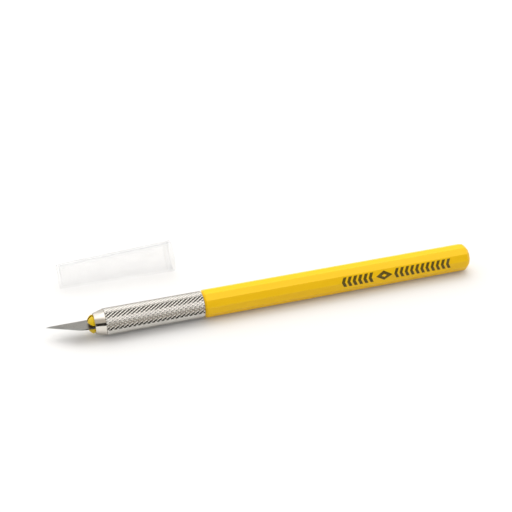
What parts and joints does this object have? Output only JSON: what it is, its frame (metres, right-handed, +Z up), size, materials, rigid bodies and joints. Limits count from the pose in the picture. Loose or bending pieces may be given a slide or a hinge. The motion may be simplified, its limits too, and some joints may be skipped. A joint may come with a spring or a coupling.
{
  "type": "craft knife",
  "caption": "Slim faceted pencil-style craft knife with a knurled screw chuck, split collet, removable pointed blade and a clear safety cap lying beside it.",
  "frame": {"origin": "on the handle's resting flat, at the middle of the handle's length; the knife's axis is 4.5 mm above it", "axes": "+X along the knife from blade to butt, +Y towards the safety cap, +Z up"},
  "size_m": [0.145, 0.0394, 0.0107],
  "materials": {
    "handle_plastic": "semi-gloss moulded yellow",
    "collet_plastic": "gloss moulded yellow",
    "chuck_metal": "turned and polished, knurled grip",
    "blade_steel": "ground, with a finer ground bevel",
    "cap_plastic": "translucent"
  },
  "bodies": {
    "handle": {"handle_barrel": "handle_plastic", "collet_shank": "collet_plastic"},
    "nose": {"nose_cone": "chuck_metal"},
    "sleeve": {"chuck_sleeve": "chuck_metal"},
    "jaw_upper_far": {"collet_jaw_upper_far": "collet_plastic"},
    "jaw_upper_near": {"collet_jaw_upper_near": "collet_plastic"},
    "jaw_lower_near": {"collet_jaw_lower_near": "collet_plastic"},
    "jaw_lower_far": {"collet_jaw_lower_far": "collet_plastic"},
    "blade": {"blade": "blade_steel"},
    "cap": {"safety_cap": "cap_plastic"}
  },
  "joints": [
    {"name": "chuck_advance", "type": "slide", "parent": "handle", "child": "nose", "axis": [-1, 0, 0], "range_m": [0, 0.002]},
    {"name": "sleeve_turn", "type": "hinge", "parent": "nose", "child": "sleeve", "pos_m": [-0.0633, 0, 0.0045], "axis": [-1, 0, 0], "range_deg": [0, 720]},
    {"name": "jaw_upper_far_flex", "type": "hinge", "parent": "handle", "child": "jaw_upper_far", "pos_m": [-0.05915, 0.00259, 0.00638], "axis": [0, 0.5878, -0.809], "range_deg": [0, 0.63]},
    {"name": "jaw_upper_near_flex", "type": "hinge", "parent": "handle", "child": "jaw_upper_near", "pos_m": [-0.05915, -0.00188, 0.00709], "axis": [0, 0.809, 0.5878], "range_deg": [0, 0.63]},
    {"name": "jaw_lower_near_flex", "type": "hinge", "parent": "handle", "child": "jaw_lower_near", "pos_m": [-0.05915, -0.00259, 0.00262], "axis": [0, -0.5878, 0.809], "range_deg": [0, 0.63]},
    {"name": "jaw_lower_far_flex", "type": "hinge", "parent": "handle", "child": "jaw_lower_far", "pos_m": [-0.05915, 0.00188, 0.00191], "axis": [0, -0.809, -0.5878], "range_deg": [0, 0.63]},
    {"name": "blade_slide", "type": "slide", "parent": "handle", "child": "blade", "axis": [-1, 0, 0], "range_m": [0, 0.022]},
    {"name": "cap_slide", "type": "slide", "parent": "handle", "child": "cap", "axis": [-0.9998, 0.0175, 0], "range_m": [0, 0.0265]}
  ],
  "couplings": [
    {"joint": "sleeve_turn", "follows": "chuck_advance", "rad_per_m": 6283.2},
    {"joint": "jaw_upper_far_flex", "follows": "chuck_advance", "rad_per_m": 5.4105},
    {"joint": "jaw_upper_near_flex", "follows": "chuck_advance", "rad_per_m": 5.4105},
    {"joint": "jaw_lower_near_flex", "follows": "chuck_advance", "rad_per_m": 5.4105},
    {"joint": "jaw_lower_far_flex", "follows": "chuck_advance", "rad_per_m": 5.4105}
  ]
}
